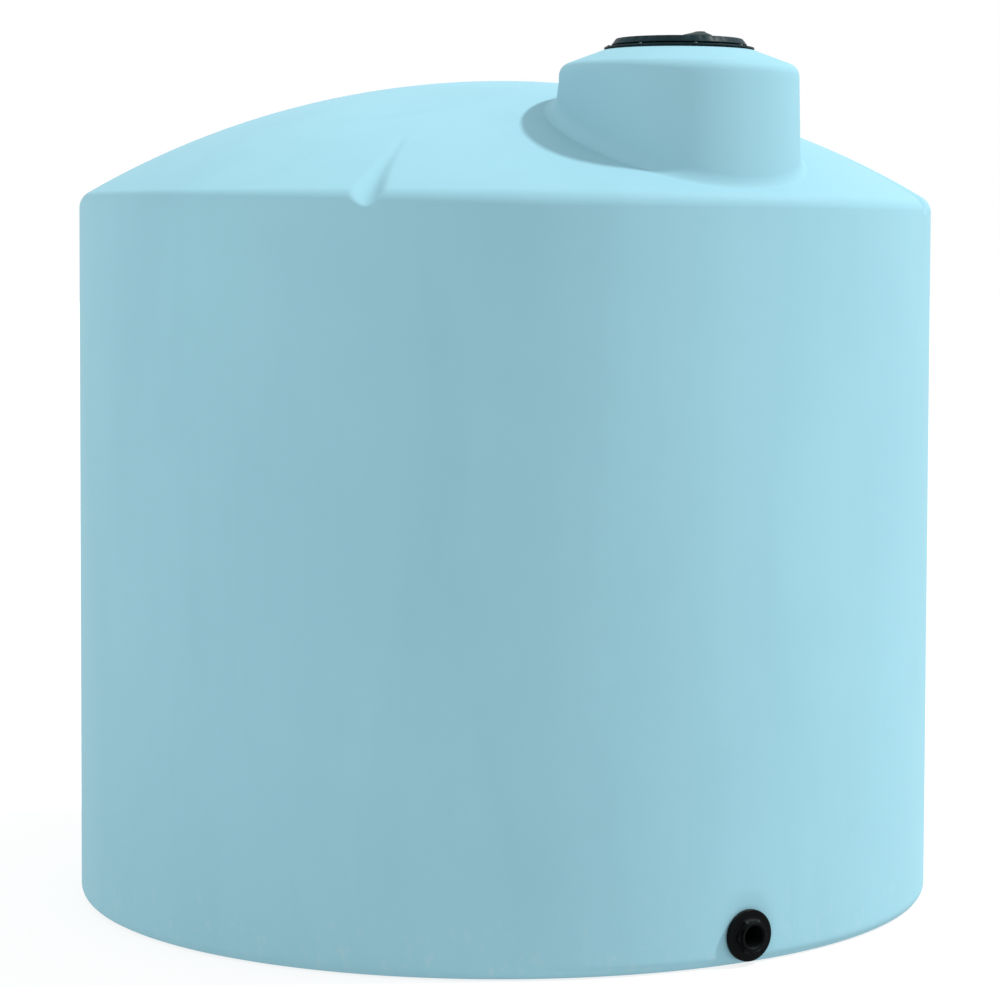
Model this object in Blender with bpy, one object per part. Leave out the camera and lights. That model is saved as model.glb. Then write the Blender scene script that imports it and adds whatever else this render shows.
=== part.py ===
# Vertical storage tank moulded in light blue polyethylene, 2,500 gallon size.
# Metres, +Z up. The origin is on the tank's axis at floor level, and -Y is the manway side.
import math

import bmesh
import bpy
from mathutils import Matrix, Vector

# Tank shell. The shoulder height is where the dome's sphere would meet the wall.
RADIUS = 1.2065
WALL = 0.009
SHOULDER_HEIGHT = 1.9612
DOME_RADIUS = 2.3149
SHOULDER_ROUND = 0.050
SHOULDER_STEPS = 4
BASE_ROUND = 0.032
BASE_STEPS = 5
FLOOR_TOP = 0.036
PANEL_TOP = 0.190
ROOF_FOOT = 1.895
FACETS = 72
WALL_SEGMENTS = 12
GAP = 0.0003

# Tie-down slots moulded over the shoulder. The shares say how deep a slot is across its width, and the
# roof has a ring of points at each radius of the last row.
SLOT_TURNS = (-49, 41, 131, 221)
SLOT_START = 0.95
SLOT_FOOT = 1.928
SLOT_DEPTH = 0.027
SLOT_HALF_TURN = 1.65
SLOT_SHARES = ((-1, 0.0), (-0.5, 0.6), (0, 1.0), (0.5, 0.6), (1, 0.0))
ROOF_RINGS = (0, 0.15, 0.32, 0.50, 0.68, 0.82, SLOT_START, 1.00, 1.06, 1.12)

# Manway neck. Its top is where the wall and the sloping shoulder would meet without rounding.
NECK_Y = -0.846
NECK_RADIUS = 0.3195
NECK_TOP = 2.303
NECK_ROUND = 0.028
NECK_FOOT_BACK = 0.050
NECK_FOOT_FRONT = 0.012
NECK_SUNK = 0.030
NECK_SPLIT = 2.270
NECK_FACETS = 60
NECK_STEPS = 4
SEAT_RADIUS = 0.200
SEAT_HEIGHT = 2.346
MOUTH_RADIUS = 0.1525

# Lid, its ring and its vent cap. The vent's crown is given by radius and height.
SEAL_THICK = 0.003
GASKET_RADIUS = 0.189
GASKET_MOUTH = 0.1565
RING_RADIUS = 0.197
RING_THICK = 0.005
COLLAR_RADIUS = 0.158
COLLAR_HEIGHT = 0.014
RING_FACETS = 48
LID_RADIUS = 0.179
LID_TOP_RADIUS = 0.166
LID_TOP = 2.3765
LID_EDGE = 0.003
LID_FACETS = 60
SKIRT_RADIUS = 0.166
SKIRT_CLEARANCE = 0.005
VENT_X = 0.0205
VENT_Y = -0.882
VENT_LEAN = (0.76, -0.48)
VENT_FOOT_RADIUS = 0.034
VENT_RADIUS = 0.044
VENT_RIM = (0.004, 0.007)
VENT_CROWN = ((0.037, 0.0105), (0.020, 0.0155), (0.012, 0.019))
VENT_FACETS = 32

# Outlet fitting through the wall
OUTLET_TURN = -1.1
OUTLET_HEIGHT = 0.078
PAD_RADIUS = 0.074
PAD_DEPTH = 0.003
HOLE_RADIUS = 0.0385
BARREL_RADIUS = 0.0375
BORE_RADIUS = 0.0285
WASHER_RADIUS = 0.058
WASHER_THICK = 0.003
WASHER_PLAY = 0.001
NUT_RADIUS = 0.067
NUT_THICK = 0.012
NUT_PLAY = 0.0006
NUT_BACK_EDGE = 0.002
NUT_EDGE = 0.003
NUT_FACETS = 48
HEX_RADIUS = 0.047
HEX_THICK = 0.014
BARREL_PROUD = 0.005
HEAD_RADIUS = 0.056
HEAD_THICK = 0.014
HEAD_PLAY = 0.0045
FITTING_FACETS = 32

# Colour and roughness
POLYETHYLENE = ((0.42, 0.74, 0.83, 1.0), 0.45)
BLACK_PLASTIC = ((0.012, 0.013, 0.014, 1.0), 0.4)
RUBBER = ((0.02, 0.02, 0.02, 1.0), 0.8)

SHARP_ANGLE = math.radians(35)
DOME_CENTRE = SHOULDER_HEIGHT - math.sqrt(DOME_RADIUS**2 - RADIUS**2)
ROUND_CENTRE = DOME_CENTRE + math.sqrt((DOME_RADIUS - SHOULDER_ROUND) ** 2 - (RADIUS - SHOULDER_ROUND) ** 2)
ROUND_START = DOME_RADIUS * (RADIUS - SHOULDER_ROUND) / (DOME_RADIUS - SHOULDER_ROUND)


def clear_scene():
    for thing in list(bpy.data.objects):
        bpy.data.objects.remove(thing, do_unlink=True)


def finish(thing, look):
    colour, roughness = look
    material = bpy.data.materials.new(thing.name)
    material.use_nodes = True
    shader = material.node_tree.nodes["Principled BSDF"]
    shader.inputs["Base Color"].default_value = colour
    shader.inputs["Roughness"].default_value = roughness
    shader.inputs["Metallic"].default_value = 0.0
    thing.data.materials.append(material)


def make_object(name, points, faces, look=POLYETHYLENE):
    mesh = bpy.data.meshes.new(name)
    mesh.from_pydata([tuple(p) for p in points], [], faces)
    shape = bmesh.new()
    shape.from_mesh(mesh)
    bmesh.ops.recalc_face_normals(shape, faces=shape.faces)
    shape.to_mesh(mesh)
    shape.free()
    mesh.shade_smooth()
    mesh.set_sharp_from_angle(angle=SHARP_ANGLE)
    thing = bpy.data.objects.new(name, mesh)
    bpy.context.collection.objects.link(thing)
    finish(thing, look)
    return thing


def turned(name, profile, steps, place=Matrix(), look=POLYETHYLENE):
    """A closed profile of (radius, height) points turned round Z, then moved by a matrix."""
    points, rows = [], []
    for radius, height in profile:
        if radius == 0:
            rows.append([len(points)])
            points.append(Vector((0, 0, height)))
            continue
        rows.append(list(range(len(points), len(points) + steps)))
        for step in range(steps):
            angle = math.tau * step / steps
            points.append(Vector((radius * math.cos(angle), radius * math.sin(angle), height)))
    faces = []
    for row, after in zip(rows, rows[1:] + rows[:1]):
        faces += bridge(row, after, steps)
    return make_object(name, [place @ p for p in points], faces, look)


def bridge(row, after, steps):
    """The faces between two rings, where a ring of one point is a pole."""
    if len(row) == 1 and len(after) == 1:
        return []
    faces = []
    for step in range(steps):
        other = (step + 1) % steps
        if len(row) == 1:
            faces.append((row[0], after[other], after[step]))
        elif len(after) == 1:
            faces.append((row[step], row[other], after[0]))
        else:
            faces.append((row[step], row[other], after[other], after[step]))
    return faces


def arc(centre, radius, first, last, steps):
    """Points on an arc in the plane of radius and height, angles in degrees."""
    angles = [math.radians(first + (last - first) * k / steps) for k in range(steps + 1)]
    return [(centre[0] + radius * math.cos(a), centre[1] + radius * math.sin(a)) for a in angles]


def roof_height(radius):
    """Height of the roof's outer face at a distance from the tank's axis."""
    if radius <= ROUND_START:
        return DOME_CENTRE + math.sqrt(DOME_RADIUS**2 - radius**2)
    across = min(radius - (RADIUS - SHOULDER_ROUND), SHOULDER_ROUND)
    return ROUND_CENTRE + math.sqrt(SHOULDER_ROUND**2 - across**2)


def roof_profile():
    """Outer face of the roof from its crown to its foot: radius, height, normal and slot depth."""
    rows = []
    for radius in (*ROOF_RINGS, ROUND_START):
        height = roof_height(radius)
        normal = (radius / DOME_RADIUS, (height - DOME_CENTRE) / DOME_RADIUS)
        depth = SLOT_DEPTH * (max(0.0, radius - SLOT_START) / (ROUND_START - SLOT_START)) ** 2
        rows.append((radius, height, normal, depth))
    start = roof_height(ROUND_START)
    top = math.asin((start - ROUND_CENTRE) / SHOULDER_ROUND)
    for step in range(1, SHOULDER_STEPS + 1):
        angle = top * (1 - step / SHOULDER_STEPS)
        normal = (math.cos(angle), math.sin(angle))
        radius = RADIUS - SHOULDER_ROUND + SHOULDER_ROUND * normal[0]
        height = ROUND_CENTRE + SHOULDER_ROUND * normal[1]
        depth = SLOT_DEPTH * ((height - SLOT_FOOT) / (start - SLOT_FOOT)) ** 0.5
        rows.append((radius, height, normal, depth))
    rows.append((RADIUS, SLOT_FOOT, (1.0, 0.0), 0.0))
    rows.append((RADIUS, ROOF_FOOT, (1.0, 0.0), 0.0))
    return rows


def roof_columns():
    """Angles round the roof in degrees with the share of the slot's depth at each."""
    columns = {360 * k / FACETS: 0.0 for k in range(FACETS)}
    for turn in SLOT_TURNS:
        middle = (turn - 90) % 360
        for share, depth in SLOT_SHARES:
            columns[(middle + share * SLOT_HALF_TURN) % 360] = depth
    return sorted(columns.items())


def make_roof():
    profile, columns = roof_profile(), roof_columns()
    steps = len(columns)
    points, rows = [], []
    for inside in (False, True):
        face_rows = []
        for radius, height, normal, depth in profile:
            back = WALL if inside else 0.0
            if radius == 0:
                face_rows.append([len(points)])
                points.append((0, 0, height - back))
                continue
            face_rows.append(list(range(len(points), len(points) + steps)))
            for turn, share in columns:
                angle = math.radians(turn)
                reach = radius - normal[0] * (back + depth * share)
                rise = height - normal[1] * (back + depth * share)
                points.append((reach * math.cos(angle), reach * math.sin(angle), rise))
        rows.append(face_rows)
    ring = rows[0] + rows[1][::-1]
    faces = []
    for row, after in zip(ring, ring[1:]):
        faces += bridge(row, after, steps)
    roof = make_object("roof_dome", points, faces)
    radius = NECK_RADIUS - WALL
    rod = [(0, ROOF_FOOT), (radius, ROOF_FOOT), (radius, LID_TOP), (0, LID_TOP)]
    cut(roof, turned("roof_hole_cutter", rod, RING_FACETS, Matrix.Translation((0, NECK_Y, 0))))


def cut(thing, cutter):
    cutter.hide_render = True
    cutter.display_type = "WIRE"
    knife = thing.modifiers.new("cut_" + cutter.name, "BOOLEAN")
    knife.operation = "DIFFERENCE"
    knife.solver = "EXACT"
    knife.object = cutter


def make_floor():
    inner = BASE_ROUND - WALL
    profile = [(0, 0)]
    profile += arc((RADIUS - BASE_ROUND, BASE_ROUND), BASE_ROUND, -90, 0, BASE_STEPS)
    profile += [(RADIUS, FLOOR_TOP), (RADIUS - WALL, FLOOR_TOP)]
    profile += arc((RADIUS - BASE_ROUND, BASE_ROUND), inner, 0, -90, BASE_STEPS - 1)
    profile += [(0, WALL)]
    return turned("tank_floor", profile, FACETS)


def make_wall(name, index, low, high):
    """One upright segment of the round wall. Segment 0 is centred on the manway side."""
    span = 360 / WALL_SEGMENTS
    trim = math.degrees(GAP / 2 / RADIUS)
    first = -90 + (index - 0.5) * span
    facets = FACETS // WALL_SEGMENTS
    turns = [first + span * k / facets for k in range(facets + 1)]
    turns[0] += trim
    turns[-1] -= trim
    corners = ((RADIUS, low), (RADIUS, high), (RADIUS - WALL, high), (RADIUS - WALL, low))
    points = []
    for turn in turns:
        angle = math.radians(turn)
        points += [(r * math.cos(angle), r * math.sin(angle), z) for r, z in corners]
    faces = [(0, 1, 2, 3), tuple(range(len(points) - 1, len(points) - 5, -1))]
    for k in range(facets):
        for side in range(4):
            here, after = 4 * k + side, 4 * k + (side + 1) % 4
            faces.append((here, after, after + 4, here + 4))
    return make_object(name, points, faces)


def outlet_frame():
    """Z runs out of the tank along the fitting's axis, from the flat pad's face."""
    outward = Matrix.Rotation(math.radians(OUTLET_TURN), 4, "Z")
    reach = Matrix.Translation((0, -(RADIUS - PAD_DEPTH), OUTLET_HEIGHT))
    return outward @ reach @ Matrix.Rotation(math.radians(90), 4, "X")


def make_outlet(panel, floor):
    place = outlet_frame()
    flat = [(0, 0), (PAD_RADIUS, 0), (PAD_RADIUS, PAD_RADIUS), (0, PAD_RADIUS)]
    hole = [(0, -PAD_RADIUS), (HOLE_RADIUS, -PAD_RADIUS), (HOLE_RADIUS, PAD_RADIUS), (0, PAD_RADIUS)]
    pad = turned("outlet_pad_cutter", flat, NUT_FACETS, place)
    cut(panel, pad)
    cut(floor, pad)
    cut(panel, turned("outlet_hole_cutter", hole, FITTING_FACETS, place))
    bored, washer = BARREL_RADIUS + WASHER_PLAY, GAP + WASHER_THICK
    ring = [(bored, GAP), (WASHER_RADIUS, GAP), (WASHER_RADIUS, washer), (bored, washer)]
    turned("outlet_washer", ring, FITTING_FACETS, place, RUBBER)
    make_nut(place, washer + GAP)
    inside = PAD_DEPTH - WALL - HEAD_PLAY
    back = inside - WASHER_THICK
    gasket = [(bored, inside), (bored, back), (HEAD_RADIUS, back), (HEAD_RADIUS, inside)]
    turned("outlet_gasket", gasket, FITTING_FACETS, place, RUBBER)
    head = back - GAP
    end = washer + GAP + NUT_THICK + HEX_THICK + BARREL_PROUD
    body = [(BORE_RADIUS, end), (BORE_RADIUS, head - HEAD_THICK), (HEAD_RADIUS, head - HEAD_THICK)]
    body += [(HEAD_RADIUS, head), (BARREL_RADIUS, head), (BARREL_RADIUS, end)]
    turned("outlet_body", body, FITTING_FACETS, place, BLACK_PLASTIC)


def make_nut(place, low):
    """A round flange with a six-sided head on it, one flat upward, bored for the barrel."""
    steps, bored = NUT_FACETS, BARREL_RADIUS + NUT_PLAY
    high = low + NUT_THICK
    profile = [(bored, low), (NUT_RADIUS - NUT_BACK_EDGE, low), (NUT_RADIUS, low + NUT_BACK_EDGE)]
    profile += [(NUT_RADIUS, high - NUT_EDGE), (NUT_RADIUS - NUT_EDGE, high)]
    profile += [(None, high), (None, high + HEX_THICK), (bored, high + HEX_THICK)]
    points = []
    for radius, height in profile:
        for step in range(steps):
            angle = math.tau * step / steps
            sector = angle % (math.pi / 3) - math.pi / 6
            reach = radius or HEX_RADIUS * math.cos(math.pi / 6) / math.cos(sector)
            points.append(place @ Vector((reach * math.cos(angle), reach * math.sin(angle), height)))
    faces = []
    count = len(profile)
    for row in range(count):
        low_row = list(range(row * steps, row * steps + steps))
        after = (row + 1) % count
        faces += bridge(low_row, list(range(after * steps, after * steps + steps)), steps)
    make_object("outlet_nut", points, faces, BLACK_PLASTIC)


def neck_foot(turn):
    """Width of the neck's flared foot, narrowest where the neck meets the shoulder."""
    front = (1 - math.sin(turn)) / 2
    return NECK_FOOT_BACK + (NECK_FOOT_FRONT - NECK_FOOT_BACK) * front


def make_neck():
    """The neck's upright wall, whose flared foot follows the roof."""
    top = NECK_SPLIT - GAP / 2
    points = []
    for step in range(NECK_FACETS):
        turn = math.tau * step / NECK_FACETS
        foot = neck_foot(turn)
        column = []
        for k in range(NECK_STEPS + 1):
            angle = math.pi / 2 * k / NECK_STEPS
            radius = NECK_RADIUS + foot * (1 - math.sin(angle))
            column.append((radius, local_roof(radius, turn) + foot * (1 - math.cos(angle))))
        column += [(NECK_RADIUS, top), (NECK_RADIUS - WALL, top)]
        for radius in (NECK_RADIUS - WALL, NECK_RADIUS + foot):
            column.append((radius, local_roof(radius, turn) - NECK_SUNK))
        for radius, height in column:
            points.append((radius * math.cos(turn), NECK_Y + radius * math.sin(turn), height))
    count = len(column)
    faces = []
    for step in range(NECK_FACETS):
        after = (step + 1) % NECK_FACETS
        for row in range(count):
            other = (row + 1) % count
            corners = (step * count + row, step * count + other, after * count + other, after * count + row)
            faces.append(corners)
    cut(make_object("manway_neck", points, faces), roof_form())


def make_neck_shoulder():
    """The rounded and sloping top of the neck, with the flat seat round the mouth."""
    low = NECK_SPLIT + GAP / 2
    rising = math.atan2(SEAT_HEIGHT - NECK_TOP, NECK_RADIUS - SEAT_RADIUS)
    bend = math.pi / 2 - rising
    centre = (NECK_RADIUS - NECK_ROUND, NECK_TOP - NECK_ROUND * math.tan(bend / 2))
    profile = [(NECK_RADIUS, low)] + arc(centre, NECK_ROUND, 0, math.degrees(bend), NECK_STEPS)
    profile += [(SEAT_RADIUS, SEAT_HEIGHT), (MOUTH_RADIUS, SEAT_HEIGHT), (MOUTH_RADIUS, SEAT_HEIGHT - WALL)]
    profile += [(SEAT_RADIUS - WALL * math.tan(rising / 2), SEAT_HEIGHT - WALL)]
    profile += arc(centre, NECK_ROUND - WALL, math.degrees(bend), 0, NECK_STEPS) + [(NECK_RADIUS - WALL, low)]
    turned("neck_shoulder", profile, NECK_FACETS, Matrix.Translation((0, NECK_Y, 0)))


def local_roof(radius, turn):
    """Height of the roof below a point given round the neck's axis."""
    across, along = radius * math.cos(turn), NECK_Y + radius * math.sin(turn)
    return roof_height(min(math.hypot(across, along), RADIUS))


def roof_form():
    """The roof's outer form, a little full, that trims the foot of the neck."""
    profile = [(r + n[0] * GAP, z + n[1] * GAP) for r, z, n, depth in roof_profile()]
    profile += [(RADIUS, ROOF_FOOT - NECK_SUNK), (0, ROOF_FOOT - NECK_SUNK)]
    return turned("neck_foot_cutter", profile, FACETS)


def make_lid():
    place = Matrix.Translation((0, NECK_Y, 0))
    seat = SEAT_HEIGHT + GAP
    low = seat + SEAL_THICK + GAP
    gasket = [(GASKET_MOUTH, seat), (GASKET_RADIUS, seat)]
    gasket += [(GASKET_RADIUS, low - GAP), (GASKET_MOUTH, low - GAP)]
    turned("ring_gasket", gasket, RING_FACETS, place, RUBBER)
    high, collar = low + RING_THICK, low + COLLAR_HEIGHT
    edge = RING_THICK / 3
    ring = [(MOUTH_RADIUS, low), (RING_RADIUS, low), (RING_RADIUS, high - edge), (RING_RADIUS - edge, high)]
    ring += [(COLLAR_RADIUS, high), (COLLAR_RADIUS, collar), (MOUTH_RADIUS, collar)]
    turned("lid_ring", ring, RING_FACETS, place, BLACK_PLASTIC)
    under = collar + GAP
    ceiling = under + SEAL_THICK + GAP
    seal = [(MOUTH_RADIUS, under), (COLLAR_RADIUS, under)]
    seal += [(COLLAR_RADIUS, ceiling - GAP), (MOUTH_RADIUS, ceiling - GAP)]
    turned("lid_seal", seal, RING_FACETS, place, RUBBER)
    foot, brow = high + SKIRT_CLEARANCE, LID_TOP - LID_EDGE
    slope = (LID_RADIUS - LID_TOP_RADIUS) / (brow - foot)
    lid = [(0, ceiling), (LID_TOP_RADIUS + slope * (brow - ceiling), ceiling), (LID_TOP_RADIUS, brow)]
    lid += [(LID_TOP_RADIUS - LID_EDGE, LID_TOP), (0, LID_TOP)]
    turned("lid", lid, LID_FACETS, place, BLACK_PLASTIC)
    above = ceiling - GAP
    skirt = [(SKIRT_RADIUS, foot), (LID_RADIUS, foot)]
    skirt += [(LID_TOP_RADIUS + slope * (brow - above), above), (SKIRT_RADIUS, above)]
    turned("lid_skirt", skirt, LID_FACETS, place, BLACK_PLASTIC)
    make_vent()


def make_vent():
    """A low cap whose top leans away from its foot."""
    lean = Matrix.Shear("XY", 4, VENT_LEAN)
    place = Matrix.Translation((VENT_X, VENT_Y, LID_TOP + GAP)) @ lean
    low, high = VENT_RIM
    cap = [(0, 0), (VENT_FOOT_RADIUS, 0), (VENT_FOOT_RADIUS, low), (VENT_RADIUS, low), (VENT_RADIUS, high)]
    cap += [*VENT_CROWN, (0, VENT_CROWN[-1][1])]
    turned("lid_vent", cap, VENT_FACETS, place, BLACK_PLASTIC)


def main():
    clear_scene()
    floor = make_floor()
    panel = make_wall("outlet_panel", 0, FLOOR_TOP + GAP, PANEL_TOP - GAP)
    for index in range(WALL_SEGMENTS):
        low = FLOOR_TOP + GAP if index else PANEL_TOP
        make_wall("wall_%02d" % (index + 1), index, low, ROOF_FOOT - GAP)
    make_roof()
    make_neck()
    make_neck_shoulder()
    make_outlet(panel, floor)
    make_lid()


main()
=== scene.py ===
import math

import bmesh
import bpy
import numpy as np
from mathutils import Matrix, Vector


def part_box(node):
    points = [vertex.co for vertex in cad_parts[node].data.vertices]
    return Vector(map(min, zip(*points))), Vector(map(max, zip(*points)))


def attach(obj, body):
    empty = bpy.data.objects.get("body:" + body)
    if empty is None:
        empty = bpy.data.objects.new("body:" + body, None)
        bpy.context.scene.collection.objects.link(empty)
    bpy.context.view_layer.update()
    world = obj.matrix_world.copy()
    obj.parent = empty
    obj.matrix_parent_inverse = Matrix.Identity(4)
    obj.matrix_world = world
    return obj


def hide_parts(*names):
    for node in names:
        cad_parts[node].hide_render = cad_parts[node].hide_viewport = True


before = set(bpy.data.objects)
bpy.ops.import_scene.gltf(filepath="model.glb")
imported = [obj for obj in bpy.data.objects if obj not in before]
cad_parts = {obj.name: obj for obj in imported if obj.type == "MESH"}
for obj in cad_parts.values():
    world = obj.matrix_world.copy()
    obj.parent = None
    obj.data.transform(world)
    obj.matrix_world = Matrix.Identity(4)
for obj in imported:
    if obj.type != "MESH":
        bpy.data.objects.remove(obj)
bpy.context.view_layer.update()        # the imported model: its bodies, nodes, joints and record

# Metres, +Z up. The origin is on the tank's axis at floor level, and -Y is the manway side. A turn is in
# degrees about Z, from that side


def boxOf(*nodes):
    # lowest and highest corner of one or more solids of the frame
    lows, highs = zip(*(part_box(node) for node in nodes))
    return np.min(np.array(lows), axis=0), np.max(np.array(highs), axis=0)


ringLow, ringHigh = boxOf("lid_ring")
lidLow, lidHigh = boxOf("lid", "lid_skirt")
ventLow, ventHigh = boxOf("lid_vent")
tankRadius = float(boxOf("roof_dome")[1][0])
seatHeight = float(boxOf("manway_neck", "neck_shoulder")[1][2])
sealTop = float(boxOf("lid_seal")[1][2])
neckCentreY = float(ringLow[1] + ringHigh[1]) / 2

# Meshes

mergeDistance = 1e-6     # points nearer to each other than this become one
smoothTurn = 40          # faces that meet at less than this many degrees are shaded as one


def putMesh(name, points, faces, smoothAngle=smoothTurn):
    # one object from points and faces, with doubles merged, faces outward and soft shading
    mesh = bpy.data.meshes.new(name)
    mesh.from_pydata(points.reshape(-1, 3).tolist(), [], faces.tolist())
    shape = bmesh.new()
    shape.from_mesh(mesh)
    bmesh.ops.remove_doubles(shape, verts=shape.verts, dist=mergeDistance)
    bmesh.ops.dissolve_degenerate(shape, edges=shape.edges, dist=mergeDistance)
    bmesh.ops.recalc_face_normals(shape, faces=shape.faces)
    shape.to_mesh(mesh)
    shape.free()
    mesh.shade_smooth()
    mesh.set_sharp_from_angle(angle=math.radians(smoothAngle))
    thing = bpy.data.objects.new(name, mesh)
    bpy.context.collection.objects.link(thing)
    return thing


def gridFaces(rows, columns, loopRows, loopColumns):
    # corner numbers of every cell of a grid, which may close on itself either way
    down = np.arange(rows if loopRows else rows - 1)
    along = np.arange(columns if loopColumns else columns - 1)
    r, c = np.meshgrid(down, along, indexing="ij")
    rNext, cNext = (r + 1) % rows, (c + 1) % columns
    corners = [r * columns + c, r * columns + cNext, rNext * columns + cNext, rNext * columns + c]
    return np.stack(corners, -1).reshape(-1, 4)


def gridObject(name, points, loopRows=True, loopColumns=True, smoothAngle=smoothTurn):
    # points has the shape rows, columns, 3
    rows, columns = points.shape[:2]
    return putMesh(name, points, gridFaces(rows, columns, loopRows, loopColumns), smoothAngle)


def arcPoints(centre, radius, first, last, count):
    # points on an arc: centre + radius * (cos a, sin a), a in degrees from first to last
    a = np.radians(np.linspace(first, last, count))
    return np.stack([centre[0] + radius * np.cos(a), centre[1] + radius * np.sin(a)], -1)


def roundedOutline(corners, fillets, count=5):
    # a closed outline whose corners become arcs of their own radius. With half the angle at a corner, the
    # arc's middle lies fillet / sin(half) along the bisector, its ends fillet / tan(half) along the sides
    corners = np.array(corners, float)
    befores, afters = np.roll(corners, 1, 0), np.roll(corners, -1, 0)
    out = []
    for corner, before, after, fillet in zip(corners, befores, afters, fillets):
        if fillet <= 0:
            out.append(corner[None])
            continue
        a, b = before - corner, after - corner
        a, b = a / np.linalg.norm(a), b / np.linalg.norm(b)
        half = math.acos(np.clip(a @ b, -1, 1)) / 2
        reach = fillet / math.tan(half)
        middle = corner + (a + b) / np.linalg.norm(a + b) * fillet / math.sin(half)
        start, end = corner + a * reach - middle, corner + b * reach - middle
        out.append(middle + turnArm(start, end, np.linspace(0, 1, count)[:, None]))
    return np.concatenate(out)


def turnArm(start, end, t):
    # turns one arm of an arc evenly into the other: (sin((1 - t) w) start + sin(t w) end) / sin w
    w = math.acos(np.clip(start @ end / (np.linalg.norm(start) * np.linalg.norm(end)), -1, 1))
    return (np.sin((1 - t) * w) * start + np.sin(t * w) * end) / math.sin(w)


def turnedPoints(outline, count):
    # radius and height carried round Z: (r cos a, r sin a, z)
    a = np.linspace(0, 2 * math.pi, count, endpoint=False)[None]
    r, z = outline[:, 0:1], outline[:, 1:2]
    return np.stack([r * np.cos(a), r * np.sin(a), z + 0 * a], -1)


def placed(points, matrix):
    # every point moved by a matrix
    m = np.array(matrix)
    return points @ m[:3, :3].T + m[:3, 3]


def closedTurn(name, corners, matrix, count):
    # a plain turned body, for cutting holes
    return gridObject(name, placed(turnedPoints(np.array(corners, float), count), matrix))


def cutAway(thing, cutters):
    # takes closed cutters out of a closed piece and keeps only the result
    for cutter in cutters:
        knife = thing.modifiers.new("cut", "BOOLEAN")
        knife.operation, knife.solver, knife.object = "DIFFERENCE", "EXACT", cutter
    bpy.context.view_layer.update()
    seen = thing.evaluated_get(bpy.context.evaluated_depsgraph_get())
    mesh = bpy.data.meshes.new_from_object(seen)
    thing.modifiers.clear()
    old, thing.data = thing.data, mesh
    bpy.data.meshes.remove(old)
    for cutter in cutters:
        bpy.data.objects.remove(cutter)


# Shader arithmetic


def plug(tree, socket, value):
    # links a value of the material, or sets a plain number, colour or vector
    if isinstance(value, Wire):
        tree.links.new(value.socket, socket)
    else:
        socket.default_value = value


class Wire:
    # a value inside a material, which takes part in plain arithmetic
    def __init__(self, tree, socket):
        self.tree, self.socket = tree, socket

    def math(self, operation, first, second):
        node = self.tree.nodes.new("ShaderNodeMath")
        node.operation = operation
        plug(self.tree, node.inputs[0], first)
        plug(self.tree, node.inputs[1], second)
        return Wire(self.tree, node.outputs[0])

    def __add__(self, other):
        return self.math("ADD", self, other)

    def __radd__(self, other):
        return self.math("ADD", other, self)

    def __sub__(self, other):
        return self.math("SUBTRACT", self, other)

    def __rsub__(self, other):
        return self.math("SUBTRACT", other, self)

    def __mul__(self, other):
        return self.math("MULTIPLY", self, other)

    def __rmul__(self, other):
        return self.math("MULTIPLY", other, self)


class Finish:
    def __init__(self, name):
        self.material = bpy.data.materials.new(name)
        self.material.use_nodes = True
        self.tree = self.material.node_tree
        self.tree.nodes.clear()

    def node(self, kind, settings=None, sockets=None, out=0):
        node = self.tree.nodes.new("ShaderNode" + kind)
        for name, value in (settings or {}).items():
            setattr(node, name, value)
        for name, value in (sockets or {}).items():
            plug(self.tree, node.inputs[name], value)
        return Wire(self.tree, node.outputs[out])

    def noise(self, scale, detail, roughness, stretch=(1, 1, 1), shift=(0, 0, 0), distort=0.0):
        # noise on the object's own coordinates, stretched and shifted
        spot = self.node("TexCoord", out="Object")
        spot = self.node("Mapping", sockets={"Vector": spot, "Scale": stretch, "Location": shift})
        return self.node("TexNoise", sockets={
            "Vector": spot, "Scale": scale, "Detail": detail, "Roughness": roughness, "Distortion": distort})

    def step(self, value, low, high, first=0.0, last=1.0):
        # a smooth rise from first to last as the value goes from low to high
        return self.node("MapRange", {"interpolation_type": "SMOOTHSTEP"}, {
            "Value": value, "From Min": low, "From Max": high, "To Min": first, "To Max": last})

    def patches(self, scale, low, high, **pattern):
        # noise that rises from 0 to 1 as it goes from low to high
        return self.step(self.noise(scale, **pattern), low, high)

    def upPart(self, kind, out):
        # the Z of a node's vector
        return self.node("SeparateXYZ", sockets={"Vector": self.node(kind, out=out)}, out="Z")

    def mix(self, amount, first, second):
        # between two colours, which a Mix node takes in its sockets 6 and 7
        node = self.tree.nodes.new("ShaderNodeMix")
        node.data_type = "RGBA"
        for number, value in ((0, amount), (6, first), (7, second)):
            plug(self.tree, node.inputs[number], value if isinstance(value, Wire) else (*value, 1))
        return Wire(self.tree, node.outputs[2])

    def bump(self, height, strength, distance, under=None):
        # a normal from a height, on top of another bump where given
        sockets = {"Height": height, "Strength": strength, "Distance": distance}
        if under is not None:
            sockets["Normal"] = under
        return self.node("Bump", sockets=sockets)

    def finish(self, sockets):
        # ends the tree in one shader
        shader = self.node("BsdfPrincipled", sockets=sockets)
        end = self.tree.nodes.new("ShaderNodeOutputMaterial")
        self.tree.links.new(shader.socket, end.inputs["Surface"])
        return self.material


# Finishes. A Scale is that of a pattern's noise, a Depth the height of its bumps in metres, a Rough what it
# adds to the roughness, and the pattern's own name says how strongly it tints the colour

plasticLook = dict(
    colour=(0.234, 0.438, 0.512), paler=(0.248, 0.461, 0.536), duller=(0.215, 0.407, 0.477),
    dust=(0.42, 0.50, 0.50), roughness=0.62, shine=0.07,
    cloudScale=1.3, runScale=4.0, spotScale=7.0, gritScale=38.0, peelScale=210.0, waveScale=9.0,
    clouds=0.7, runs=0.28, spots=0.32, grit=0.35, gritHeight=0.30, runStretch=0.22, gritStretch=0.6,
    cloudRough=0.08, spotRough=0.10, peelDepth=0.0008, waveDepth=0.004)


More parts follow.
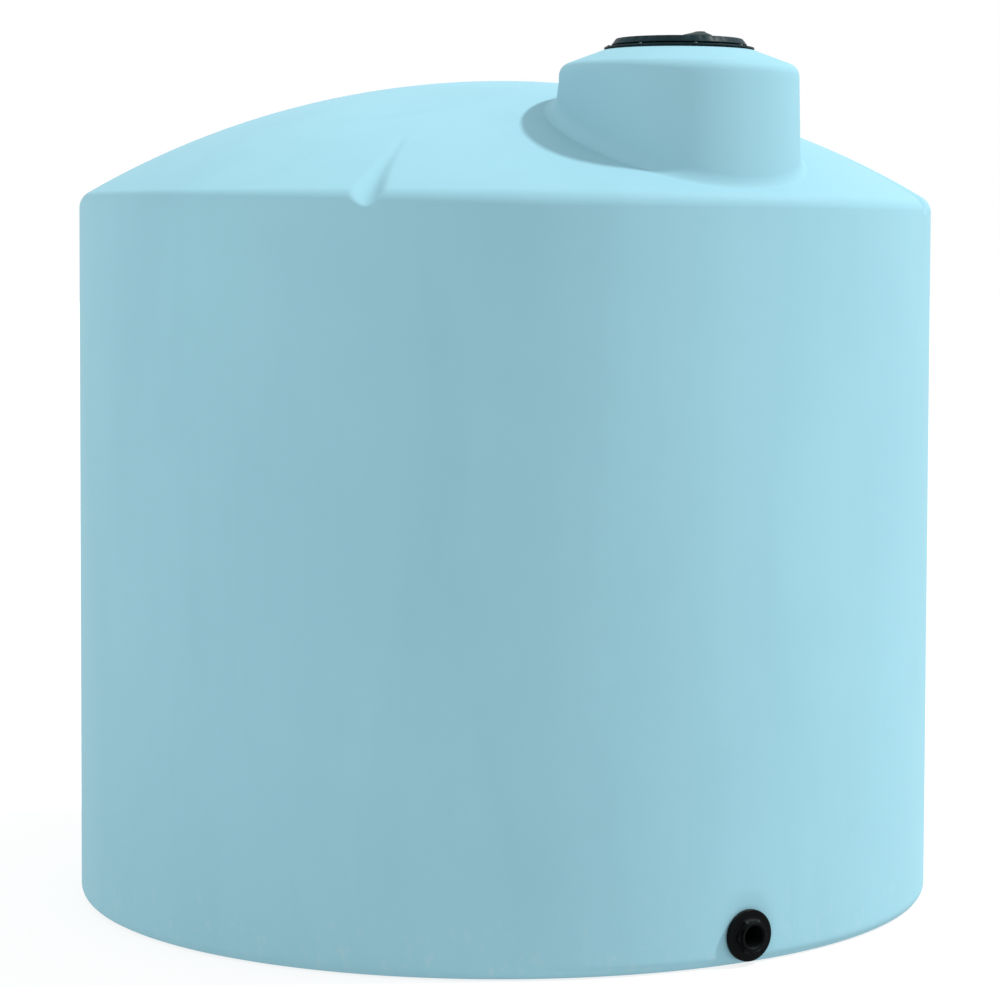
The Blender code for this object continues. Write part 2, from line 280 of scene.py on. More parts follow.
def makeTankPlastic():
    # moulded polyethylene: cloudy tint, faint upright runs, a few scuffs, grit low down and fine orange peel
    look, m = plasticLook, Finish("tankPlastic")
    cloud = m.patches(look["cloudScale"], low=0.35, high=0.68, detail=4.0, roughness=0.55)
    runs = m.patches(look["runScale"], low=0.42, high=0.72, detail=4.0, roughness=0.6,
                     stretch=(1, 1, look["runStretch"]), shift=(3, 1, 0), distort=0.6)
    spots = m.patches(look["spotScale"], low=0.60, high=0.78, detail=5.0, roughness=0.7, shift=(9, 2, 4))
    height = m.upPart("TexCoord", "Object")
    foot = m.step(height, 0.0, look["gritHeight"], 1.0, 0.0)
    tint = m.mix(cloud * look["clouds"], look["colour"], look["paler"])
    tint = m.mix(runs * look["runs"], tint, look["duller"])
    tint = m.mix(spots * look["spots"], tint, look["duller"])
    grit = m.patches(look["gritScale"], low=0.50, high=0.80, detail=6.0, roughness=0.75,
                     stretch=(1, 1, look["gritStretch"]))
    tint = m.mix(foot * grit * look["grit"], tint, look["dust"])
    peel = m.noise(look["peelScale"], detail=3.0, roughness=0.5)
    waves = m.bump(m.noise(look["waveScale"], detail=2.0, roughness=0.5), 0.12, look["waveDepth"])
    surface = m.bump(peel, 0.10, look["peelDepth"], under=waves)
    rough = look["roughness"] + (cloud - 0.5) * look["cloudRough"] + spots * look["spotRough"]
    return m.finish({
        "Base Color": tint, "Roughness": rough, "Normal": surface, "Specular IOR Level": look["shine"]})


blackLook = dict(
    colour=(0.0012, 0.0019, 0.0022), highTint=(0.011, 0.032, 0.038), dust=(0.060, 0.076, 0.080),
    roughness=0.36, shine=0.05, greyFrom=0.6, greyTo=2.0,
    cloudScale=14.0, speckScale=260.0, grainScale=420.0, waveScale=30.0,
    highShare=0.55, highCloudShare=0.45, topDustAndHighlight=0.12, topClouds=0.20, specks=0.02, highSpecks=0.10,
    cloudRough=0.14, grainDepth=0.0005, waveDepth=0.002)


def makeBlackPlastic():
    # moulded black plastic with a fine grain, greyer and more teal higher up, and paler on faces that look
    # up, where dust settles and a highlight is painted
    look, m = blackLook, Finish("blackPlastic")
    cloud = m.patches(look["cloudScale"], low=0.40, high=0.70, detail=5.0, roughness=0.6)
    specks = m.patches(look["speckScale"], low=0.62, high=0.78, detail=3.0, roughness=0.6)
    up = m.upPart("NewGeometry", "Normal")
    height = m.upPart("TexCoord", "Object")
    # higher up the colour turns greyer and more teal
    high = m.step(height, look["greyFrom"], look["greyTo"])
    upward = m.step(up, 0.4, 1.0)
    tint = m.mix(high * (look["highShare"] + cloud * look["highCloudShare"]), look["colour"], look["highTint"])
    # faces that look up turn toward the dust colour: dust settling there, and partly a painted highlight
    tint = m.mix(upward * (look["topDustAndHighlight"] + cloud * look["topClouds"]), tint, look["dust"])
    tint = m.mix(specks * (look["specks"] + high * look["highSpecks"]), tint, look["dust"])
    grain = m.noise(look["grainScale"], detail=3.0, roughness=0.6)
    waves = m.bump(m.noise(look["waveScale"], detail=2.0, roughness=0.5), 0.06, look["waveDepth"])
    surface = m.bump(grain, 0.14, look["grainDepth"], under=waves)
    rough = look["roughness"] + cloud * look["cloudRough"]
    return m.finish({
        "Base Color": tint, "Roughness": rough, "Normal": surface, "Specular IOR Level": look["shine"]})


rubberLook = dict(
    colour=(0.018, 0.018, 0.019), bloom=(0.060, 0.060, 0.058), roughness=0.72,
    bloomScale=45.0, grainScale=600.0, blooms=0.5, bloomRough=0.12, grainDepth=0.0004)


def makeRubber():
    # sheet rubber with a faint pale bloom
    look, m = rubberLook, Finish("sealRubber")
    bloom = m.patches(look["bloomScale"], low=0.45, high=0.75, detail=5.0, roughness=0.65)
    surface = m.bump(m.noise(look["grainScale"], detail=2.0, roughness=0.5), 0.18, look["grainDepth"])
    tint = m.mix(bloom * look["blooms"], look["colour"], look["bloom"])
    rough = look["roughness"] + bloom * look["bloomRough"]
    return m.finish({"Base Color": tint, "Roughness": rough, "Normal": surface})


screwLook = dict(
    colour=(0.060, 0.062, 0.064), dull=(0.024, 0.026, 0.027), roughness=0.46,
    cloudScale=90.0, scratchScale=900.0, scratchStretch=0.1, clouds=0.6, cloudRough=0.15,
    scratchDepth=0.0003)


def makeScrewSteel():
    # blackened steel screws: cloudy, with fine scratches
    look, m = screwLook, Finish("screwSteel")
    cloud = m.patches(look["cloudScale"], low=0.40, high=0.70, detail=4.0, roughness=0.6)
    scratches = m.noise(look["scratchScale"], detail=2.0, roughness=0.5,
                        stretch=(1, look["scratchStretch"], 1))
    tint = m.mix(cloud * look["clouds"], look["colour"], look["dull"])
    surface = m.bump(scratches, 0.08, look["scratchDepth"])
    rough = look["roughness"] + cloud * look["cloudRough"]
    return m.finish({"Base Color": tint, "Metallic": 1.0, "Roughness": rough, "Normal": surface})


tankPlastic = makeTankPlastic()
blackPlastic = makeBlackPlastic()
sealRubber = makeRubber()
screwSteel = makeScrewSteel()
print("finishes made")


def dress(thing, material, slot, body, *nodes):
    # gives a piece its material and body, and hides the solids that it stands for; the slot is not used
    thing.data.materials.clear()
    thing.data.materials.append(material)
    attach(thing, body)
    if nodes:
        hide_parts(*nodes)


# Shell: floor, wall and roof in one skin

shell = dict(
    wall=0.009, shoulderHeight=1.9612, domeRadius=2.3149, shoulderRound=0.050, baseRound=0.032, wallParts=12,
    crownRows=20, slotRows=30, shoulderRows=22, lipRows=18, wallRows=14, padRows=24, baseRows=8, floorRows=5,
    columns=240, leastStep=0.02)    # the least step between two columns is in degrees
slots = dict(
    turns=(-49, 41, 131, 221), start=0.95, foot=1.928, bulge=0.012, spread=1.15, hollow=0.038, lip=0.010,
    halfTurn=3.6, columns=36, margin=0.012)
outlet = dict(
    turn=-1.1, height=0.078, padRadius=0.074, padDepth=0.003, padSoft=0.045, columns=30,
    hole=0.0385, holeReach=0.06, holeColumns=64)

domeCentre = shell["shoulderHeight"] - math.sqrt(shell["domeRadius"] ** 2 - tankRadius ** 2)
roundRadius = tankRadius - shell["shoulderRound"]
roundCentre = domeCentre + math.sqrt((shell["domeRadius"] - shell["shoulderRound"]) ** 2 - roundRadius ** 2)
roundStart = shell["domeRadius"] * roundRadius / (shell["domeRadius"] - shell["shoulderRound"])
padReach = outlet["padRadius"] + 2 * outlet["padSoft"]    # how far the finer steps go from the pad's middle


def roofHeight(r):
    # outer face of the roof: the dome's circle, then the shoulder's small circle
    dome = domeCentre + np.sqrt(shell["domeRadius"] ** 2 - np.minimum(r, roundStart) ** 2)
    across = np.clip(r - roundRadius, 0, shell["shoulderRound"])
    shoulder = roundCentre + np.sqrt(shell["shoulderRound"] ** 2 - across ** 2)
    return np.where(r <= roundStart, dome, shoulder)


def smooth(t):
    # 3 t^2 - 2 t^3, held between 0 and 1
    t = np.clip(t, 0, 1)
    return t * t * (3 - 2 * t)


def evenSteps(first, last, count, finer):
    # steps from first to last, half as many on the inner skin
    return np.linspace(first, last, (count if finer else count // 2) + 1)


def shellProfile(finer):
    # crown to floor centre: radius, height and the two parts of the outward normal, along the dome's circle,
    # the shoulder's, the straight wall, the base's circle and the flat floor
    s = shell
    slotTop, slotFoot = slots["start"] - slots["margin"], slots["foot"] - slots["margin"]
    r = np.concatenate([evenSteps(0, slotTop, s["crownRows"], finer),
                        evenSteps(slotTop, roundStart, s["slotRows"], finer)[1:]])
    top = roofHeight(r)
    parts = [np.stack([r, top, r / s["domeRadius"], (top - domeCentre) / s["domeRadius"]])]
    start = float(roofHeight(np.array(roundStart)))
    a = evenSteps(math.asin((start - roundCentre) / s["shoulderRound"]), 0, s["shoulderRows"], finer)[1:]
    parts.append(np.stack([roundRadius + s["shoulderRound"] * np.cos(a),
                           roundCentre + s["shoulderRound"] * np.sin(a), np.cos(a), np.sin(a)]))
    padTop = outlet["height"] + padReach
    z = np.concatenate([evenSteps(roundCentre, slotFoot, s["lipRows"], finer)[1:],
                        evenSteps(slotFoot, padTop, s["wallRows"], finer)[1:],
                        evenSteps(padTop, s["baseRound"], s["padRows"], finer)[1:]])
    one, none = np.ones_like(z), np.zeros_like(z)
    parts.append(np.stack([tankRadius * one, z, one, none]))
    a = evenSteps(0, -math.pi / 2, s["baseRows"], finer)[1:]
    parts.append(np.stack([tankRadius - s["baseRound"] * (1 - np.cos(a)), s["baseRound"] * (1 + np.sin(a)),
                           np.cos(a), np.sin(a)]))
    r = evenSteps(tankRadius - s["baseRound"], 0, s["floorRows"], finer)[1:]
    parts.append(np.stack([r, 0 * r, 0 * r, -np.ones_like(r)]))
    return np.concatenate(parts, axis=1)


def shellAngles(finer):
    # evenly spaced, with finer steps across each slot and across the outlet's pad
    share = 1 if finer else 2
    angles = [np.linspace(0, 360, shell["columns"] // share, endpoint=False)]
    across = np.linspace(-slots["halfTurn"], slots["halfTurn"], slots["columns"] // share)
    angles += [turn - 90 + across for turn in slots["turns"]]
    if finer:
        padTurn = math.degrees(padReach / tankRadius)
        angles.append(outlet["turn"] - 90 + np.linspace(-padTurn, padTurn, outlet["columns"]))
    merged = np.unique(np.round(np.concatenate(angles) % 360, 3))
    return np.radians(merged[np.diff(merged, append=merged[0] + 360) > shell["leastStep"]])


def pressSlots(r, z, angle, back):
    # a slot is a soft V whose bottom arches from the dome at start down to the wall at foot: a straight line,
    # raised by 4 bulge t (1 - t). What stands above the V is pushed square to that line, and the V rises by
    # spread times (the root of off^2 + hollow^2, less hollow), with off the distance from its middle
    high = float(roofHeight(np.array(slots["start"])))
    fall = math.atan2(high - slots["foot"], tankRadius - slots["start"])
    t = ((r - slots["start"]) * math.cos(fall) - (z - high) * math.sin(fall)) * math.cos(fall)
    t = np.clip(t / (tankRadius - slots["start"]), 0, 1)
    above = (r - slots["start"]) * math.sin(fall) + (z - high) * math.cos(fall) + back
    above = above - 4 * slots["bulge"] * t * (1 - t)
    push = np.zeros_like(above)
    for turn in slots["turns"]:
        off = ((angle - math.radians(turn - 90) + math.pi) % (2 * math.pi) - math.pi) * tankRadius
        rise = slots["spread"] * (np.hypot(off, slots["hollow"]) - slots["hollow"])
        push = np.maximum(push, softOver(above - rise, slots["lip"]))
    return r - push * math.sin(fall), z - push * math.cos(fall)


def softOver(value, width):
    # the positive part of a value, which sets in as (value + width)^2 / (4 width) within width of zero
    return np.where(np.abs(value) < width, (value + width) ** 2 / (4 * width), np.maximum(value, 0))


def flattenPad(points):
    # presses the wall onto a flat disc where the outlet is: what lies beyond the plane goes back to it,
    # wholly within padRadius and less and less over the next padSoft
    turn = math.radians(outlet["turn"] - 90)
    out, side = np.array([math.cos(turn), math.sin(turn)]), np.array([-math.sin(turn), math.cos(turn)])
    reach, across = points[..., :2] @ out, points[..., :2] @ side
    away = np.hypot(across, points[..., 2] - outlet["height"])
    share = 1 - smooth((away - outlet["padRadius"]) / outlet["padSoft"])
    plane = tankRadius - outlet["padDepth"]
    pressed = np.where(reach > 0, np.minimum(reach, plane), reach)
    points[..., :2] += ((pressed - reach) * share)[..., None] * out
    return points


def shellSkin(back):
    # the profile carried round Z, moved inward by back along its normal, with slots and pad pressed in
    finer = back == 0
    r, z, nr, nz = shellProfile(finer)[:, :, None]
    angle = shellAngles(finer)[None]
    reach = np.maximum(r - nr * back, 0) * np.sign(r) + 0 * angle
    rise = z - nz * back + 0 * angle
    pressed = pressSlots(reach, rise, angle, back)
    reach, rise = np.where(z > slots["foot"] - slots["margin"], pressed, (reach, rise))
    grid = np.stack([reach * np.cos(angle), reach * np.sin(angle), rise], -1)
    return flattenPad(grid) if finer else grid


def makeShell():
    # the outer skin less the inner one, the neck's hole and the outlet's
    outer = gridObject("shellOuter", shellSkin(0.0), loopRows=False)
    inner = gridObject("shellInner", shellSkin(shell["wall"]), loopRows=False)
    cutAway(outer, [inner, neckHole(), outletHole()])
    outer.name = "tankShell"
    dress(outer, tankPlastic, "tank_plastic", "tank", "tank_floor", "roof_dome", "outlet_panel",
          *["wall_%02d" % (k + 1) for k in range(shell["wallParts"])])


def neckHole():
    # as wide as the neck's inside, through the roof
    r, low, high = neck["radius"] - shell["wall"], neck["holeLow"], neck["holeHigh"]
    return closedTurn("neckHole", [(0, low), (r, low), (r, high), (0, high)],
                      Matrix.Translation((0, neckCentreY, 0)), neck["holeColumns"])


def outletFrame():
    # Z runs out of the tank along the fitting, from the face of the flat pad
    face = Matrix.Translation((0, -(tankRadius - outlet["padDepth"]), outlet["height"]))
    return Matrix.Rotation(math.radians(outlet["turn"]), 4, "Z") @ face @ Matrix.Rotation(math.pi / 2, 4, "X")


def outletHole():
    # as wide as the barrel with its play, through the pad
    r, reach = outlet["hole"], outlet["holeReach"]
    return closedTurn("outletHole", [(0, -reach), (r, -reach), (r, reach), (0, reach)],
                      outletFrame(), outlet["holeColumns"])


# Neck: flared foot, upright wall, sloping shoulder and seat

neck = dict(
    radius=0.3195, topRadius=0.3145, top=2.303, seatRadius=0.200, mouth=0.1525,
    footBack=0.050, footFront=0.014, riseBack=0.050, riseFront=0.030, footRows=16,
    topRound=0.034, seatRound=0.004, lipRound=0.002, underRound=0.004, roundSteps=9,
    outerFrom=0.04, innerTo=0.03, lean=0.001, sunk=0.0006, tuck=0.004, hair=0.0005, columns=240,
    holeLow=1.5, holeHigh=2.6, holeColumns=128)


def makeNeck():
    # radius and height carried round the neck's axis. The foot flares out onto the roof in a quarter of an
    # ellipse, foot wide and rise high, both least at the front
    n, wall = neck, shell["wall"]
    a = np.linspace(0, 2 * math.pi, n["columns"], endpoint=False)
    front = (1 - np.sin(a)) / 2
    foot = n["footBack"] + (n["footFront"] - n["footBack"]) * front
    rise = n["riseBack"] + (n["riseFront"] - n["riseBack"]) * front

    def localRoof(r):
        away = np.hypot(r * np.cos(a), neckCentreY + r * np.sin(a))
        return roofHeight(np.minimum(away, tankRadius - n["hair"]))

    rows = []
    for t in np.linspace(0, math.pi / 2, n["footRows"]):
        r = n["radius"] + foot * (1 - math.sin(t))
        rows.append((r, localRoof(r) + rise * (1 - math.cos(t)) - n["sunk"] * math.cos(t)))
    rising = math.atan2(seatHeight - n["top"], n["topRadius"] - n["seatRadius"])
    innerTop = n["top"] - wall * math.tan((math.pi / 2 - rising) / 2)
    upper = roundedOutline(
        [(n["topRadius"] + n["lean"], n["top"] - n["outerFrom"]), (n["topRadius"], n["top"]),
         (n["seatRadius"], seatHeight), (n["mouth"], seatHeight), (n["mouth"], seatHeight - wall),
         (n["seatRadius"] - wall * math.tan(rising / 2), seatHeight - wall),
         (n["topRadius"] - wall, innerTop), (n["topRadius"] - wall + n["lean"], innerTop - n["innerTo"])],
        [0, n["topRound"], n["seatRound"], n["lipRound"], n["lipRound"], n["underRound"],
         n["topRound"] - wall, 0], n["roundSteps"])
    for r, z in upper:
        rows.append((r + 0 * a, z + 0 * a))
    inner, outer = n["radius"] - wall - n["hair"], n["radius"] + foot
    rows.append((inner + 0 * a, localRoof(inner) - wall))
    rows.append((outer, localRoof(outer) - n["tuck"]))
    r, z = (np.array([row[k] for row in rows]) for k in (0, 1))
    grid = np.stack([r * np.cos(a), neckCentreY + r * np.sin(a), z], -1)
    piece = gridObject("manwayNeck", grid, smoothAngle=50)
    dress(piece, tankPlastic, "tank_plastic", "tank", "manway_neck", "neck_shoulder")


makeShell()
makeNeck()
print("tank shell and neck made")

# Lid ring with its screws, and the lid with its vent

ring = dict(
    thick=0.005, collar=0.158, edge=0.0018, underEdge=0.0006, footOut=0.0005, footUp=0.003, footRound=0.0015,
    topEdge=0.001, columns=192)
screw = dict(
    count=8, circle=0.1885, head=0.0052, tall=0.0036, sunk=0.002, waist=0.98, crown=1.15, crownDrop=0.55,
    crownFrom=28.6, crownRows=8, columns=24)    # waist, crown and crownDrop are shares of the head's radius
lid = dict(
    topRadius=0.166, skirt=0.006, rimWidth=0.014, rimSlope=0.003, recess=0.004, hub=0.03, gap=0.0003,
    edge=0.0025, rimEdge=0.0015, footEdge=0.0012, innerEdge=0.0008, ceilingEdge=0.001, rowStep=0.012,
    ribs=36, ribDepth=0.0022, ribInset=0.002, ribFade=0.004, ribFoot=0.002, ribFootFade=0.003,
    ribStart=0.0005, spokes=12, spokeHalf=0.005, spokeSide=0.002, spokeStart=0.055, spokeFade=0.006,
    spokeOver=0.002, spokeShare=0.7, dishPlay=0.0002, columns=432)
vent = dict(
    lean=(0.76, -0.48), neck=0.034, rim=0.044, rimLow=0.004, rimHigh=0.007, brow=0.037, browHeight=0.0105,
    crown=0.020, crownHeight=0.0155, top=0.012, neckEdge=0.0008, rimEdge=0.0012, slopeRound=0.004,
    topEdge=0.002, columns=96)


def atNeck(points):
    # from the neck's axis to the frame
    return points + np.array([0, neckCentreY, 0])


def makeLidRing():
    # a flange with an upright collar: one rounded outline carried round Z
    low, high = float(ringLow[2]), float(ringHigh[2])
    wide, mouth, collar = float(ringHigh[0]), neck["mouth"], ring["collar"]
    flat = low + ring["thick"]
    outline = roundedOutline(
        [(mouth, low), (wide, low), (wide, flat), (collar + ring["footOut"], flat),
         (collar, flat + ring["footUp"]), (collar, high), (mouth, high)],
        [ring["underEdge"], ring["underEdge"], ring["edge"], ring["footRound"], 0, ring["topEdge"],
         ring["topEdge"]])
    piece = gridObject("lidRing", atNeck(turnedPoints(outline, ring["columns"])))
    dress(piece, blackPlastic, "black_plastic", "tank", "lid_ring")


def makeScrews():
    # pan heads in one mesh, each a straight side and an arc for its crown, brought to its height and carried
    # round Z, at even steps of a circle
    head, sunk = screw["head"], screw["sunk"]
    flat = float(ringLow[2]) + ring["thick"]
    crown = arcPoints((0, -head * screw["crownDrop"]), head * screw["crown"], screw["crownFrom"], 90,
                      screw["crownRows"])
    crown[:, 1] *= screw["tall"] / crown[:, 1].max()
    foot = [(0, -sunk), (head * screw["waist"], -sunk)]
    one = turnedPoints(np.concatenate([foot, crown]), screw["columns"])
    turns = 2 * math.pi * (np.arange(screw["count"]) + 0.5) / screw["count"]
    spots = np.stack([screw["circle"] * np.cos(turns), neckCentreY + screw["circle"] * np.sin(turns),
                      flat + 0 * turns], -1)
    rows, columns = one.shape[:2]
    faces = gridFaces(rows, columns, True, True)
    faces = np.concatenate([faces + k * rows * columns for k in range(screw["count"])])
    piece = putMesh("ringScrews", one.reshape(-1, 3) + spots[:, None], faces)
    dress(piece, screwSteel, "black_plastic", "tank")


def makeLid():
    # a cap with a shallow dish: one rounded outline carried round Z. Ribs draw the skirt's radius in by
    # ribDepth times the square of (1 - cos(ribs a)) / 2, and spokes lift the dish near their middle lines
    low, high, wide = float(lidLow[2]), float(lidHigh[2]), float(lidHigh[0])
    topWide, ceiling, dish = lid["topRadius"], sealTop + lid["gap"], high - lid["recess"]
    rim, inner = topWide - lid["rimWidth"], wide - lid["skirt"]
    outline = roundedOutline(
        [(0, ceiling), (inner, ceiling), (inner, low), (wide, low), (topWide, high), (rim, high),
         (rim - lid["rimSlope"], dish), (lid["hub"], dish), (0, dish)],
        [0, lid["ceilingEdge"], lid["innerEdge"], lid["footEdge"], lid["edge"], lid["rimEdge"],
         lid["rimEdge"], 0, 0])
    dense = [outline[0:1]]
    for a, b in zip(outline, outline[1:]):
        parts = max(1, int(np.linalg.norm(b - a) / lid["rowStep"]))
        dense.append(a + (b - a) * np.linspace(0, 1, parts + 1)[1:, None])
    points = turnedPoints(np.concatenate(dense), lid["columns"])
    x, y, z = points[..., 0], points[..., 1], points[..., 2]
    r, a = np.hypot(x, y), np.arctan2(y, x)
    onSkirt = smooth((r - topWide + lid["ribInset"]) / lid["ribFade"])
    onSkirt = onSkirt * smooth((z - low - lid["ribFoot"]) / lid["ribFootFade"]) * (z > low + lid["ribStart"])
    shrink = lid["ribDepth"] * onSkirt * (0.5 - 0.5 * np.cos(a * lid["ribs"])) ** 2
    points[..., 0] -= shrink * np.cos(a)
    points[..., 1] -= shrink * np.sin(a)
    off = np.abs((a * lid["spokes"] / (2 * math.pi) + 0.5) % 1 - 0.5) * 2 * math.pi / lid["spokes"] * r
    lift = smooth((lid["spokeHalf"] - off) / lid["spokeSide"])
    lift = lift * smooth((r - lid["spokeStart"]) / lid["spokeFade"])
    lift = lift * smooth((rim + lid["spokeOver"] - r) / lid["spokeFade"])
    onDish = (z > dish - lid["dishPlay"]) & (r < rim)
    points[..., 2] += np.where(onDish, lift * lid["recess"] * lid["spokeShare"], 0)
    piece = gridObject("lidCap", atNeck(points), smoothAngle=35)
    dress(piece, blackPlastic, "black_plastic", "manway_lid", "lid", "lid_skirt")


def makeVent():
    # a low cap, one rounded outline carried round Z, whose top leans away: x and y move by lean * height
    v, tall = vent, float(ventHigh[2]) - float(ventLow[2])
    outline = roundedOutline(
        [(0, 0), (v["neck"], 0), (v["neck"], v["rimLow"]), (v["rim"], v["rimLow"]), (v["rim"], v["rimHigh"]),
         (v["brow"], v["browHeight"]), (v["crown"], v["crownHeight"]), (v["top"], tall), (0, tall)],
        [0, 0, v["neckEdge"], v["rimEdge"], v["rimEdge"], v["slopeRound"], v["slopeRound"], v["topEdge"], 0])
    points = turnedPoints(outline, v["columns"])
    centreX = float(ventLow[0] + v["rim"] - v["rimLow"] * v["lean"][0])
    centreY = float(ventHigh[1] - v["rim"] - v["rimLow"] * v["lean"][1])
    points = points + points[..., 2:] * np.array([*v["lean"], 0])
    piece = gridObject("ventCap", points + np.array([centreX, centreY, float(ventLow[2])]))
    dress(piece, blackPlastic, "black_plastic", "manway_lid", "lid_vent")


makeLidRing()
makeScrews()
makeLid()
makeVent()
print("lid, ring and vent made")

# Outlet fitting

fitting = dict(
    washer=0.0030, gap=0.0003, flange=0.012, hexHeight=0.014, proud=0.005, nutRadius=0.067, hexRadius=0.047,
    chamfer=0.006, barrel=0.0375, bore=0.0285, threadPitch=0.0044, threadDepth=0.0011, threadRows=120,
    threadFrom=0.003, threadTo=0.004, headRadius=0.056, headThick=0.014, headPlay=0.0045, play=0.0006)
nut = dict(
    underEdge=0.0015, flangeEdge=0.003, footEdge=0.0015, hexEdge=0.002, boreEdge=0.0006, roundSteps=6,
    cornerCut=0.985, headFrom=0.0005, headFade=0.002, boreBand=0.002, leastWall=0.0012, columns=192)
barrel = dict(
    innerEdge=0.001, headEdge=0.003, footEdge=0.0005, endEdge=0.0012, mouthEdge=0.0010, mouthSlope=0.002,
    columns=96)


def makeNut():
    # round flange under a six-sided head, one flat upward, whose front edge slopes in to the barrel. The head
    # reaches as far as its flat, divided by the cosine of the angle from the middle of that flat
    f, n = fitting, nut
    low = f["washer"] + 2 * f["gap"]
    high = low + f["flange"]
    end = high + f["hexHeight"]
    bored = f["barrel"] + f["play"]
    outline = roundedOutline(
        [(bored, low), (f["nutRadius"], low), (f["nutRadius"], high), (f["hexRadius"], high),
         (f["hexRadius"], end - f["chamfer"]), (f["hexRadius"] - f["chamfer"], end), (bored, end)],
        [0, n["underEdge"], n["flangeEdge"], n["footEdge"], n["hexEdge"], n["hexEdge"], n["boreEdge"]],
        n["roundSteps"])
    a = np.linspace(0, 2 * math.pi, n["columns"], endpoint=False)[None]
    flat = f["hexRadius"] * math.cos(math.pi / 6)
    sector = a % (math.pi / 3) - math.pi / 6
    hexReach = np.minimum(flat / np.cos(sector), f["hexRadius"] * n["cornerCut"])
    r, z = outline[:, 0:1], outline[:, 1:2]
    offBore = r > bored + n["boreBand"]
    onHead = smooth((z - high - n["headFrom"]) / n["headFade"])
    r = r * (1 + (np.where(offBore, hexReach / f["hexRadius"], 1) - 1) * onHead)
    r = np.where(offBore, np.maximum(r, bored + n["leastWall"]), r)
    points = np.stack([r * np.cos(a), r * np.sin(a), z + 0 * a], -1)
    piece = gridObject("outletNut", placed(points, outletFrame()), smoothAngle=30)
    dress(piece, blackPlastic, "black_plastic", "tank", "outlet_nut")


def makeBarrel():
    # tube through the wall with its head inside the tank, carried round its axis. The threads in its bore are
    # ridges: the radius grows by threadDepth times (1 - cos(2 pi z / threadPitch)) / 2
    f, b = fitting, barrel
    end = f["washer"] + 2 * f["gap"] + f["flange"] + f["hexHeight"] + f["proud"]
    inside = -(shell["wall"] - outlet["padDepth"]) - f["headPlay"]
    head = inside - f["washer"] - f["gap"]
    low = head - f["headThick"]
    z = np.linspace(end - f["threadFrom"], low + f["threadTo"], f["threadRows"])
    threads = 0.5 - 0.5 * np.cos(2 * math.pi * z / f["threadPitch"])
    bore = np.stack([f["bore"] + f["threadDepth"] * threads, z], -1)
    rest = roundedOutline(
        [(f["bore"], low), (f["headRadius"], low), (f["headRadius"], head), (f["barrel"], head),
         (f["barrel"], end), (f["bore"] + b["mouthSlope"], end)],
        [b["innerEdge"], b["headEdge"], b["innerEdge"], b["footEdge"], b["endEdge"], b["mouthEdge"]])
    points = turnedPoints(np.concatenate([bore, rest]), b["columns"])
    piece = gridObject("outletBarrel", placed(points, outletFrame()))
    dress(piece, blackPlastic, "black_plastic", "tank", "outlet_body")


makeNut()
makeBarrel()
for node in ("ring_gasket", "lid_seal", "outlet_gasket", "outlet_washer"):
    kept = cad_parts[node]
    kept.data.materials.clear()
    kept.data.materials.append(sealRubber)
print("outlet fitting made")

# Floor, light and camera. Places are given from the tank's foot as the camera sees it: how far to the right,
# how far toward the camera and how far up. Pitch, yaw and roll are in radians, the other angles in degrees

studio = dict(
    floorSize=160.0, floorLines=9, floorDrop=0.0005, floorColour=(0.22, 0.22, 0.22), floorDull=0.97,
    floorSpecks=0.3, floorScale=6.0, floorRoughness=0.8, floorGlow=0.78,
    skyColour=(1.0, 1.0, 1.0), skyStrength=1.0,
    keyTurn=94.0, keyRise=51.0, keyDistance=12.0, keyStrength=3.36, keyAngle=3.5,
    leftPower=150.0, leftSize=5.0, leftPlace=(-9.0, 0.5, 4.5), leftTarget=(0, 0, 1.9))    # power in watts
camera = dict(
    azimuth=-32.13, distance=8.566, height=1.8332, pitch=0.05142, yaw=0.02979, roll=0.00533,
    focalPixels=2984.0, centreX=595.0, centreY=400.0, frameSize=1000.0, sensor=36.0)    # sensor in mm


def makeFloor():
    # a flat grid that is a hair under the tank
    s = studio
    u = np.linspace(-s["floorSize"] / 2, s["floorSize"] / 2, s["floorLines"])
    x, y = np.meshgrid(u, u, indexing="ij")
    m = Finish("paleFloor")
    speck = m.patches(s["floorScale"], low=0.3, high=0.7, detail=4.0, roughness=0.6)
    pale = s["floorColour"]
    tint = m.mix(speck * s["floorSpecks"], pale, tuple(c * s["floorDull"] for c in pale))
    points = np.stack([x, y, 0 * x - s["floorDrop"]], -1)
    piece = gridObject("paleFloor", points, loopRows=False, loopColumns=False)
    piece.data.materials.append(m.finish({
        "Base Color": tint, "Roughness": s["floorRoughness"], "Specular IOR Level": 0.0,
        "Emission Color": (1, 1, 1, 1), "Emission Strength": s["floorGlow"]}))


def makeSky():
    # even white light from all round
    world = bpy.data.worlds.new("studioSky")
    world.use_nodes = True
    back = world.node_tree.nodes["Background"]
    back.inputs["Color"].default_value = (*studio["skyColour"], 1)
    back.inputs["Strength"].default_value = studio["skyStrength"]
    bpy.context.scene.world = world


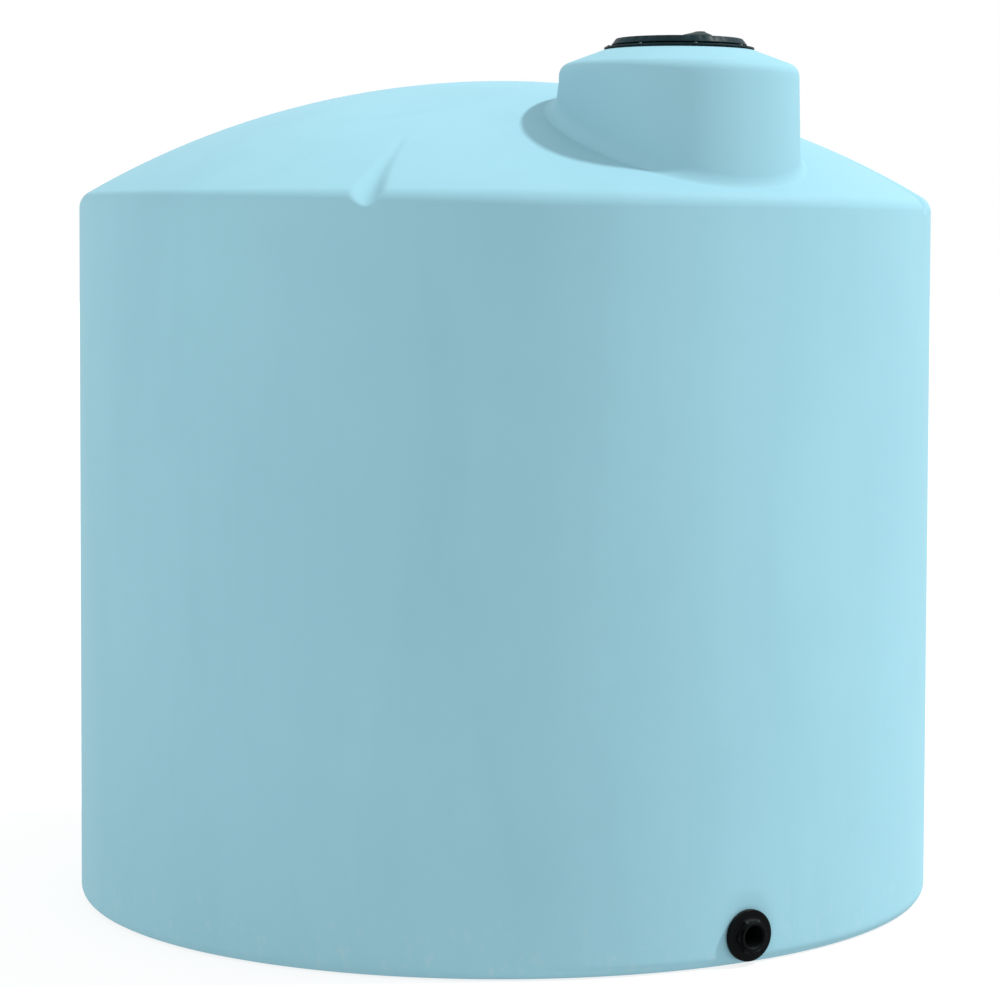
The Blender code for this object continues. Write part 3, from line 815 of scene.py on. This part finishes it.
def cameraSide(right, toward, up):
    # a place from its three distances: front * toward + side * right + up
    a = math.radians(camera["azimuth"])
    front, side = Vector((math.sin(a), -math.cos(a), 0)), Vector((math.cos(a), math.sin(a), 0))
    return front * toward + side * right + Vector((0, 0, up))


def putLight(name, kind, spot, target, **values):
    # a light at spot that shines toward target
    data = bpy.data.lights.new(name, kind)
    for key, value in values.items():
        setattr(data, key, value)
    lamp = bpy.data.objects.new(name, data)
    bpy.context.collection.objects.link(lamp)
    lamp.location = spot
    lamp.rotation_euler = (Vector(target) - Vector(spot)).to_track_quat("-Z", "Y").to_euler()
    return lamp


def makeLights():
    # the key is small, bright and far off, turned to the right of the camera and raised by its two angles
    s = studio
    turn, rise = math.radians(s["keyTurn"]), math.radians(s["keyRise"])
    away = s["keyDistance"] * math.cos(rise)
    spot = cameraSide(away * math.sin(turn), away * math.cos(turn), s["keyDistance"] * math.sin(rise))
    putLight("keyLight", "SUN", spot, (0, 0, 0), energy=s["keyStrength"], angle=math.radians(s["keyAngle"]))
    fill = putLight("leftFill", "AREA", cameraSide(*s["leftPlace"]), s["leftTarget"],
                    shape="DISK", size=s["leftSize"], energy=s["leftPower"])
    fill.visible_glossy = False    # fills the shade and leaves no streak


def makeCamera():
    # lens and shift come from the focal length and the view's centre in pixels of a square frame
    c = camera
    data = bpy.data.cameras.new("photoCamera")
    data.sensor_width = c["sensor"]
    data.lens = c["focalPixels"] / c["frameSize"] * c["sensor"]
    data.shift_x = 0.5 - c["centreX"] / c["frameSize"]
    data.shift_y = c["centreY"] / c["frameSize"] - 0.5
    eye = bpy.data.objects.new("photoCamera", data)
    bpy.context.collection.objects.link(eye)
    turn = Matrix.Rotation(math.radians(c["azimuth"]) - c["yaw"], 4, "Z")
    turn = turn @ Matrix.Rotation(math.pi / 2 - c["pitch"], 4, "X") @ Matrix.Rotation(c["roll"], 4, "Z")
    eye.matrix_world = Matrix.Translation(cameraSide(0, c["distance"], c["height"])) @ turn
    bpy.context.scene.camera = eye


makeFloor()
makeSky()
makeLights()
makeCamera()
bpy.context.scene.view_settings.view_transform = "Standard"    # keeps the plastic's own colour
print("studio made")
